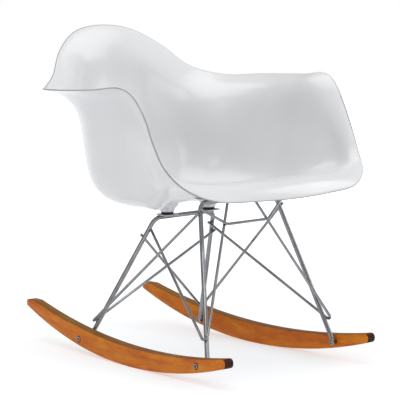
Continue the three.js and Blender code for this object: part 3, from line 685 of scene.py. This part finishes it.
# ==== Mount plates and seat screws =========================================================
# Four small zinc-plated plates are welded on top of the hoops' bars. A pan-head screw comes
# up through each plate and a rubber grommet into a brass insert in the shell's boss.
PLATE_CORNER = 0.006
PLATE_EDGE = 0.0006
SCREW_RADIUS = 0.0024
SCREW_HEAD_RADIUS = 0.0048
DRIVE_RADIUS = 0.0015
DRIVE_DEPTH = 0.0016
MOUNTS = [f"{end}_{name}" for end in BARS for name in SIDES]


def plated_zinc():
    material, shader, add, join = finish_of("plated_zinc", (0.42, 0.43, 0.45), 0.38, metallic=1.0)
    place = add("ShaderNodeTexCoord").outputs["Object"]
    brushing = stretched_noise(add, join, place, (60, 1400, 60), detail=4)
    spangle = stretched_noise(add, join, place, (160, 160, 160), detail=2)
    tone = shaded_between(add, join, spangle, [(0.35, (0.34, 0.35, 0.37)), (0.65, (0.48, 0.49, 0.51))])
    join(tone, shader.inputs["Base Color"])
    join(ranged(add, join, brushing, 0.28, 0.5), shader.inputs["Roughness"])
    bumped(add, join, shader, brushing, 0.00002)
    return material


def black_rubber():
    material, shader, add, join = finish_of("black_rubber", (0.018, 0.018, 0.02), 0.75)
    place = add("ShaderNodeTexCoord").outputs["Object"]
    pitting = stretched_noise(add, join, place, (900, 900, 900), detail=3)
    bloom = shaded_between(add, join, pitting, [(0.4, (0.014, 0.014, 0.016)), (0.7, (0.04, 0.04, 0.042))])
    join(bloom, shader.inputs["Base Color"])
    join(ranged(add, join, pitting, 0.62, 0.85), shader.inputs["Roughness"])
    bumped(add, join, shader, pitting, 0.00005)
    return material


def plain_brass():
    material, shader, add, join = finish_of("plain_brass", (0.55, 0.38, 0.14), 0.32, metallic=1.0)
    place = add("ShaderNodeTexCoord").outputs["Object"]
    tarnish = stretched_noise(add, join, place, (300, 300, 300), detail=3)
    tone = shaded_between(add, join, tarnish, [(0.35, (0.42, 0.28, 0.10)), (0.65, (0.60, 0.43, 0.17))])
    join(tone, shader.inputs["Base Color"])
    join(ranged(add, join, tarnish, 0.25, 0.45), shader.inputs["Roughness"])
    bumped(add, join, shader, tarnish, 0.00002)
    return material


ZINC, RUBBER, BRASS = plated_zinc(), black_rubber(), plain_brass()


def plate_body(where):
    """A plate lying flat, from its own box: corners cut round, edges eased."""
    low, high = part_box(f"mount_plate_{where}")
    half_x, half_y = (high.x - low.x) / 2, (high.y - low.y) / 2
    square = [(-half_x, -half_y), (half_x, -half_y), (half_x, half_y), (-half_x, half_y)]
    outline = rounded([(a, b, PLATE_CORNER) for a, b in square], steps=8)
    body = eased_board(outline, high.z - low.z, PLATE_EDGE, steps=3)
    lying = Matrix(((0, 1, 0, 0), (0, 0, 1, 0), (1, 0, 0, 0), (0, 0, 0, 1)))
    body.transform(Matrix.Translation((low + high) / 2) @ lying)
    return body


def screw_body(low, high, head):
    """A pan-head screw with a turned shank that ends in a short taper."""
    under = low.z + head
    return turned(rounded([
        (0, low.z, 0), (0.7 * SCREW_HEAD_RADIUS, low.z, 0.001), (SCREW_HEAD_RADIUS, low.z + head / 2, 0.0008),
        (SCREW_HEAD_RADIUS, under, EDGE_ROUND / 2), (SCREW_RADIUS, under, 0),
        (SCREW_RADIUS, high.z - SCREW_RADIUS, 0), (SCREW_RADIUS / 2, high.z, 0), (0, high.z, 0),
    ], closed=False), sides=32)


for where in MOUNTS:
    screw_low, screw_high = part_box(f"seat_screw_{where}")
    spot = (screw_low + screw_high) / 2
    upright = Matrix.Translation((spot.x, spot.y, 0))

    plate = piece_of(f"welded_plate_{where}", plate_body(where), ZINC)
    plate_low, plate_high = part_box(f"mount_plate_{where}")
    hole = turned([(0, plate_low.z - FIT), (SCREW_RADIUS + FIT, plate_low.z - FIT),
                   (SCREW_RADIUS + FIT, plate_high.z + FIT), (0, plate_high.z + FIT)])
    hole.transform(upright)
    combine(plate, hole)
    mount_in_frame(plate, "plated_steel", f"mount_plate_{where}")

    screw = piece_of(f"pan_screw_{where}", screw_body(screw_low, screw_high, 0.0034), ZINC)
    drive = turned([(0, screw_low.z - FIT), (DRIVE_RADIUS, screw_low.z - FIT),
                    (DRIVE_RADIUS, screw_low.z + DRIVE_DEPTH), (0, screw_low.z + DRIVE_DEPTH)], sides=6)
    combine(screw, drive)
    screw.data.transform(upright)
    mount_in_frame(screw, "plated_steel", f"seat_screw_{where}")

    for kind, finish, slot, edge in (
        ("rubber_grommet", RUBBER, "rubber", 0.0012),
        ("threaded_insert", BRASS, "insert_brass", EDGE_ROUND),
    ):
        low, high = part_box(f"{kind}_{where}")
        outer = (high.x - low.x) / 2
        profile = ring_profile(SCREW_RADIUS + FIT, outer, low.z, high.z, edge)
        ring = piece_of(f"{kind}_ring_{where}", turned(profile, closed=True), finish)
        ring.data.transform(upright)
        mount_in_frame(ring, slot, f"{kind}_{where}")

# ==== Seat shell ===========================================================================
# One injection-moulded polypropylene bucket with arms. The dish turns up into the wall, the
# wall into a wide lip, and the rim is rounded. Four bosses under it hold the seat screws.
SHELL_THICKNESS = 0.0048
SHELL_FLOOR = np.array([0, 0.062, 0.322])  # lowest point of the dish
RIM_ROUND = 0.985  # share of the way to the rim at which the edge starts to round off
FLOOR_TURN = 0.42  # how far down the wall the dish begins to turn up
LIP_TURN = 0.5  # how much of the lip's length bends
LIP_SHARE = 0.72  # share of the profile spent below the lip
# Stations on the left half of the rim, from the top of the back to the seat's front edge:
# the rim's place, how far inside and below it the wall turns out into the lip, the slope of
# the wall and of the lip there in degrees, and how far the flat of the seat reaches.
STATIONS = [
    ((0, .305, .686), .044, .150, 74, 62, .80),
    ((.078, .295, .675), .046, .148, 75, 60, .80),
    ((.143, .265, .638), .058, .142, 79, 54, .80),
    ((.193, .224, .591), .066, .138, 83, 42, .80),
    ((.252, .174, .572), .090, .132, 84, 20, .80),
    ((.302, .112, .574), .096, .128, 82, 10, .82),
    ((.314, .033, .578), .080, .128, 79, 8, .84),
    ((.303, -.045, .583), .064, .128, 77, 8, .85),
    ((.288, -.106, .590), .058, .128, 76, 10, .86),
    ((.280, -.145, .576), .052, .124, 70, 16, .78),
    ((.276, -.179, .534), .048, .100, 54, 14, .68),
    ((.275, -.206, .481), .048, .070, 34, 6, .52),
    ((.268, -.233, .434), .052, .036, 18, -10, .44),
    ((.245, -.270, .395), .058, -.006, 11, -40, .42),
    ((.188, -.300, .371), .060, -.026, 8, -62, .39),
    ((.097, -.316, .366), .058, -.032, 6, -70, .36),
    ((0, -.321, .364), .058, -.034, 5, -72, .35),
]
TURNS = 256
BOWL_ROWS = 66
EDGE_ROWS = 8
RIM_SHADE_BAND = 0.0026  # how far round the edge the painted shade reaches
BOSS_BOTTOM_RADIUS = 0.015
BOSS_TOP_RADIUS = 0.025
BOSS_STEPS = 8


def profile_corners(station):
    """Six corners of the shell's profile through one station, from the dish to the rim."""
    rim, in_by, down_by, wall, lip, reach = station
    rim = np.array(rim)
    outward = np.array([rim[0] - SHELL_FLOOR[0], rim[1] - SHELL_FLOOR[1], 0])
    outward /= np.linalg.norm(outward)

    def slope(degrees):
        angle = math.radians(degrees)
        return outward * math.cos(angle) + np.array([0, 0, math.sin(angle)])

    wall_top = rim - outward * in_by - np.array([0, 0, down_by])
    run = (wall_top - SHELL_FLOOR) * np.array([1, 1, 0])
    foot = wall_top - slope(wall) * np.linalg.norm(wall_top - SHELL_FLOOR) * FLOOR_TURN
    bend = np.linalg.norm(rim - wall_top) * LIP_TURN
    return [
        SHELL_FLOOR + run * reach, foot, wall_top,
        wall_top + slope(wall) * bend, rim - slope(lip) * bend, rim,
    ]


half_round = np.array([profile_corners(station) for station in STATIONS])
whole_round = np.concatenate([half_round, half_round[-2:0:-1] * np.array([-1, 1, 1])])


def round_the_rim(turns):
    """The six profile corners at each turn, on a smooth closed curve through the stations."""
    count = len(whole_round)
    place = np.mod(turns, 1) * count
    whole = np.floor(place).astype(int) % count
    t = (place - np.floor(place))[:, None, None]
    p0, p1, p2, p3 = [whole_round[(whole + k) % count] for k in (-1, 0, 1, 2)]
    out, into = (p2 - p0) / 2, (p3 - p1) / 2
    return (p1 * (2 * t**3 - 3 * t**2 + 1) + out * (t**3 - 2 * t**2 + t)
            + p2 * (3 * t**2 - 2 * t**3) + into * (t**3 - t**2))


def bezier(p0, p1, p2, p3, t):
    s = 1 - t
    return p0 * s**3 + p1 * 3 * s**2 * t + p2 * 3 * s * t**2 + p3 * t**3


def shell_middle(turns, out):
    """Middle of the shell's thickness at a ring of turns, `out` from the dish to the rim."""
    reach, foot, top, lip_start, lip_end, rim = np.moveaxis(round_the_rim(turns), 1, 0)
    if out <= LIP_SHARE:
        return bezier(SHELL_FLOOR, reach, foot, top, out / LIP_SHARE)
    return bezier(top, lip_start, lip_end, rim, (out - LIP_SHARE) / (1 - LIP_SHARE))


def shell_normal(turns, out):
    """Unit normals of the middle surface, towards the sitter."""
    step = 0.002
    safe = min(max(out, step), 1 - step)
    along = shell_middle(turns, safe + step) - shell_middle(turns, safe - step)
    around = shell_middle(turns + step, safe) - shell_middle(turns - step, safe)
    normal = np.cross(around, along)
    return normal / np.linalg.norm(normal, axis=1)[:, None]


def shell_ring(turns, out, face):
    past = max(0.0, (out - RIM_ROUND) / (1 - RIM_ROUND))
    half = SHELL_THICKNESS / 2 * math.sqrt(max(0.0, 1 - past * past))
    if out == 0:
        return [SHELL_FLOOR + np.array([0, 0, face * half])]
    return shell_middle(turns, out) + face * half * shell_normal(turns, out)


def shell_body():
    turns = np.arange(TURNS) / TURNS
    bowl = [RIM_ROUND * (i / BOWL_ROWS) ** 0.9 for i in range(BOWL_ROWS + 1)]
    edge = [RIM_ROUND + (1 - RIM_ROUND) * math.sin(math.pi / 2 * i / EDGE_ROWS) for i in range(1, EDGE_ROWS)]
    rows = bowl + edge
    rings = [shell_ring(turns, out, 1) for out in rows]
    rings.append(shell_ring(turns, 1.0, 1))
    rings += [shell_ring(turns, out, -1) for out in reversed(rows)]
    low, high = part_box("seat_shell")
    rings = [np.clip(ring, low, high) for ring in rings]
    return skin([[tuple(corner) for corner in ring] for ring in rings])


def boss_body(spot, bottom):
    """A turned boss that flares out into the shell's underside."""
    height = middle_height(spot) - bottom
    low_edge = bottom + EDGE_ROUND
    profile = [(0, bottom), (BOSS_BOTTOM_RADIUS - EDGE_ROUND, bottom), (BOSS_BOTTOM_RADIUS, low_edge)]
    for step in range(1, BOSS_STEPS + 1):
        share = step / BOSS_STEPS
        flare = (BOSS_TOP_RADIUS - BOSS_BOTTOM_RADIUS) * share**2
        profile.append((BOSS_BOTTOM_RADIUS + flare, low_edge + height * share))
    profile.append((0, profile[-1][1]))
    body = turned(profile, sides=40)
    for corner in body.verts:
        here = Vector((spot.x + corner.co.x, spot.y + corner.co.y))
        is_top = corner.co.z > bottom + height
        corner.co.z = middle_height(here) if is_top else min(corner.co.z, middle_height(here))
    body.transform(Matrix.Translation((spot.x, spot.y, 0)))
    return body


turns_once = np.arange(TURNS) / TURNS
dish_rings = [shell_middle(turns_once, LIP_SHARE * i / 60) for i in range(1, 50)]
dish_points = np.concatenate(dish_rings)


def middle_height(spot):
    """Height of the shell's middle surface over a point on the plan, from its nearest points."""
    distance = np.hypot(dish_points[:, 0] - spot.x, dish_points[:, 1] - spot.y)
    nearest = np.argsort(distance)[:6]
    weight = 1 / (distance[nearest] + 1e-5)
    return float((dish_points[nearest, 2] * weight).sum() / weight.sum())


def white_polypropylene():
    material, shader, add, join = finish_of("white_polypropylene", (0.645, 0.65, 0.66), 0.36)
    shader.inputs["IOR"].default_value = 1.49
    shader.inputs["Coat Weight"].default_value = 0.5
    shader.inputs["Coat Roughness"].default_value = 0.12
    place = add("ShaderNodeTexCoord").outputs["Object"]
    cloud = stretched_noise(add, join, place, (6, 6, 6), detail=2)
    texture = stretched_noise(add, join, place, (1500, 1500, 1500), detail=2)
    scuff = stretched_noise(add, join, place, (90, 25, 90), detail=6, roughness=0.7)
    tone = shaded_between(add, join, cloud, [(0.35, (0.63, 0.635, 0.645)), (0.65, (0.655, 0.66, 0.67))])
    rub = shaded_between(add, join, scuff, [(0.27, (0.93, 0.93, 0.93)), (0.36, (1, 1, 1))])
    join(mixed(add, join, 1.0, tone, rub, "MULTIPLY"), shader.inputs["Base Color"])
    join(ranged(add, join, scuff, 0.28, 0.44), shader.inputs["Roughness"])
    bumped(add, join, shader, texture, 0.00002)
    return material


def painted_rim_shade():
    """The rim, where the mould's two halves meet: matt, and grey with painted shade."""
    material, shader, add, join = finish_of("painted_rim_shade", (0.30, 0.30, 0.31), 0.55)
    place = add("ShaderNodeTexCoord").outputs["Object"]
    rim_noise = stretched_noise(add, join, place, (320, 320, 320), detail=3)
    tone = shaded_between(add, join, rim_noise, [(0.3, (0.27, 0.27, 0.28)), (0.7, (0.33, 0.33, 0.34))])
    join(tone, shader.inputs["Base Color"])
    bumped(add, join, shader, rim_noise, 0.00003)
    return material


WHITE_PLASTIC = white_polypropylene()
shell = piece_of("moulded_shell", shell_body(), WHITE_PLASTIC, sharp_degrees=60)
for where in MOUNTS:
    spot = middle_of(f"seat_screw_{where}")
    boss_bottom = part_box(f"rubber_grommet_{where}")[1].z + FIT
    combine(shell, boss_body(spot, boss_bottom), "UNION")
    insert_low, insert_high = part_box(f"threaded_insert_{where}")
    pocket_radius = (insert_high.x - insert_low.x) / 2 + FIT
    pocket = turned([(0, boss_bottom - FIT), (pocket_radius, boss_bottom - FIT),
                     (pocket_radius, insert_high.z + FIT), (0, insert_high.z + FIT)])
    pocket.transform(Matrix.Translation((spot.x, spot.y, 0)))
    combine(shell, pocket)
# Painted shade: faces within the band along the rim get the grey rim material.
shell.data.materials.append(painted_rim_shade())
rim_line = shell_middle(np.arange(8 * TURNS) / (8 * TURNS), 1.0)
for face in shell.data.polygons:
    nearest = np.linalg.norm(rim_line - np.array(face.center), axis=1).min()
    if nearest < RIM_SHADE_BAND:
        face.material_index = 1
shell.data.polygons.foreach_set("use_smooth", [True] * len(shell.data.polygons))
shell.data.set_sharp_from_angle(angle=math.radians(60))
mount_in_frame(shell, "shell_plastic", "seat_shell")

# ==== Studio ===============================================================================
# A round white floor under a white studio, lit from above by one large soft box and filled
# from the right, the front and the near side. The floor fades to plain white with distance.
FLOOR_RADIUS = 6.0
FADE_START, FADE_END = 0.9, 2.4  # distances between which the floor fades to white
FLOOR_GLOW = 0.54
AIR_GLOW = 0.52


def pale_card():
    material, shader, add, join = finish_of("pale_card", (0.5, 0.5, 0.5), 0.8)
    shader.inputs["Specular IOR Level"].default_value = 0.2
    place = add("ShaderNodeTexCoord").outputs["Object"]
    fibres = stretched_noise(add, join, place, (90, 90, 90), detail=3)
    tone = shaded_between(add, join, fibres, [(0.3, (0.49, 0.51, 0.53)), (0.7, (0.50, 0.52, 0.54))])
    join(tone, shader.inputs["Base Color"])
    distance = add("ShaderNodeVectorMath")
    distance.operation = "LENGTH"
    join(place, distance.inputs[0])
    glow = add("ShaderNodeMapRange")
    fade = {"From Min": FADE_START, "From Max": FADE_END, "To Min": FLOOR_GLOW, "To Max": 1.0}
    for key, value in fade.items():
        glow.inputs[key].default_value = value
    join(distance.outputs["Value"], glow.inputs["Value"])
    shader.inputs["Emission Color"].default_value = (1, 1, 1, 1)
    join(glow.outputs["Result"], shader.inputs["Emission Strength"])
    return material


floor_body = bmesh.new()
bmesh.ops.create_circle(floor_body, cap_ends=True, segments=96, radius=FLOOR_RADIUS)
floor = piece_of("studio_floor", floor_body, pale_card())


def soft_box(name, place, aim, size, watts):
    light = bpy.data.lights.new(name, "AREA")
    light.shape = "RECTANGLE"
    light.size, light.size_y = size
    light.energy = watts
    lamp = bpy.data.objects.new(name, light)
    lamp.location = place
    lamp.rotation_euler = (Vector(aim) - Vector(place)).to_track_quat("-Z", "Y").to_euler()
    bpy.context.scene.collection.objects.link(lamp)


MIDDLE = (0, 0, 0.4)
soft_box("overhead_soft_box", (-0.3, 0.2, 3.2), MIDDLE, (3.0, 3.0), 54)
soft_box("right_soft_box", (2.8, -1.6, 2.2), MIDDLE, (1.8, 1.8), 29)
soft_box("front_soft_box", (0.6, -2.8, 2.4), MIDDLE, (1.8, 1.8), 8)
soft_box("near_soft_box", (-2.0, -2.6, 2.6), MIDDLE, (1.8, 1.8), 22)

world = bpy.data.worlds.new("studio_air")
world.use_nodes = True
air = world.node_tree.nodes["Background"]
air.inputs["Color"].default_value = (1, 1, 1, 1)
is_seen = world.node_tree.nodes.new("ShaderNodeLightPath").outputs["Is Camera Ray"]
strength = world.node_tree.nodes.new("ShaderNodeMapRange")
strength.inputs["To Min"].default_value = AIR_GLOW
strength.inputs["To Max"].default_value = 1.0
world.node_tree.links.new(is_seen, strength.inputs["Value"])
world.node_tree.links.new(strength.outputs["Result"], air.inputs["Strength"])
bpy.context.scene.world = world
bpy.context.scene.view_settings.view_transform = "Standard"

CAMERA_PLACE = (-3.1618, -3.6358, 0.9877)
CAMERA_TURN = (math.radians(82.21), 0.0, math.radians(-41.25))
lens = bpy.data.cameras.new("studio_camera")
lens.lens = 206.5
lens.sensor_width = 36
camera = bpy.data.objects.new("studio_camera", lens)
camera.location = CAMERA_PLACE
camera.rotation_euler = CAMERA_TURN
bpy.context.scene.collection.objects.link(camera)
bpy.context.scene.camera = camera
